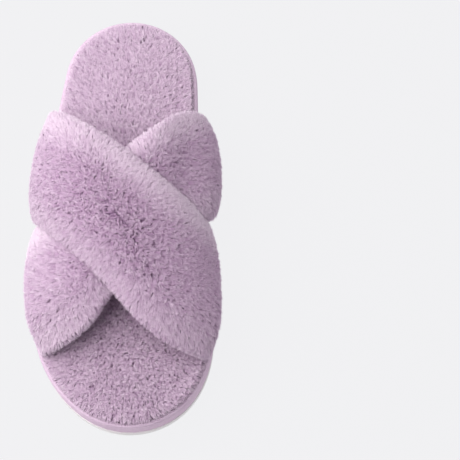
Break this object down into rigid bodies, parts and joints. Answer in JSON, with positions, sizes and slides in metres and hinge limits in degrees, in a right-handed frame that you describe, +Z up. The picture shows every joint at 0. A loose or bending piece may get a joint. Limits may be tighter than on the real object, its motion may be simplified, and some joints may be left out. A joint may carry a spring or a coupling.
{
  "type": "fluffy house slipper",
  "caption": "Right-foot open-toe slipper: a flat fabric-wrapped sole with a faux-fur footbed and padded fur bands crossed over the instep.",
  "frame": {"origin": "middle of the bounding box at floor level, under the sole", "axes": "+Z up from the floor, -Y towards the toe, +Y towards the heel, +X towards the wearer's inner (medial) side"},
  "size_m": [0.1167, 0.2584, 0.0887],
  "materials": {
    "fur_pile": "matte",
    "knit_backing": "matte",
    "lining_fabric": "matte",
    "wrap_fabric": "matte",
    "thread": "satin",
    "pad_foam": "matte",
    "board": "matte",
    "midsole_foam": "matte",
    "outsole_rubber": "matte"
  },
  "bodies": {
    "root": {"outsole": "outsole_rubber", "bottom_filler": "board", "fabric_wrap": "wrap_fabric", "edge_binding": "wrap_fabric", "wrap_join_tape": "knit_backing", "midsole": "midsole_foam", "insole_board": "board", "footbed_foam": "pad_foam", "footbed_backing": "knit_backing", "footbed_pile": "fur_pile", "seam_stitches": "thread", "upper_band_lining": "lining_fabric", "upper_band_padding": "pad_foam", "upper_band_knit": "knit_backing", "upper_band_pile": "fur_pile", "upper_band_stitches": "thread", "upper_band_lateral_margin": "knit_backing", "upper_band_medial_margin": "knit_backing", "under_band_lining": "lining_fabric", "under_band_padding": "pad_foam", "under_band_knit": "knit_backing", "under_band_pile": "fur_pile", "under_band_stitches": "thread", "under_band_lateral_margin": "knit_backing", "under_band_medial_margin": "knit_backing"}
  },
  "joints": []
}
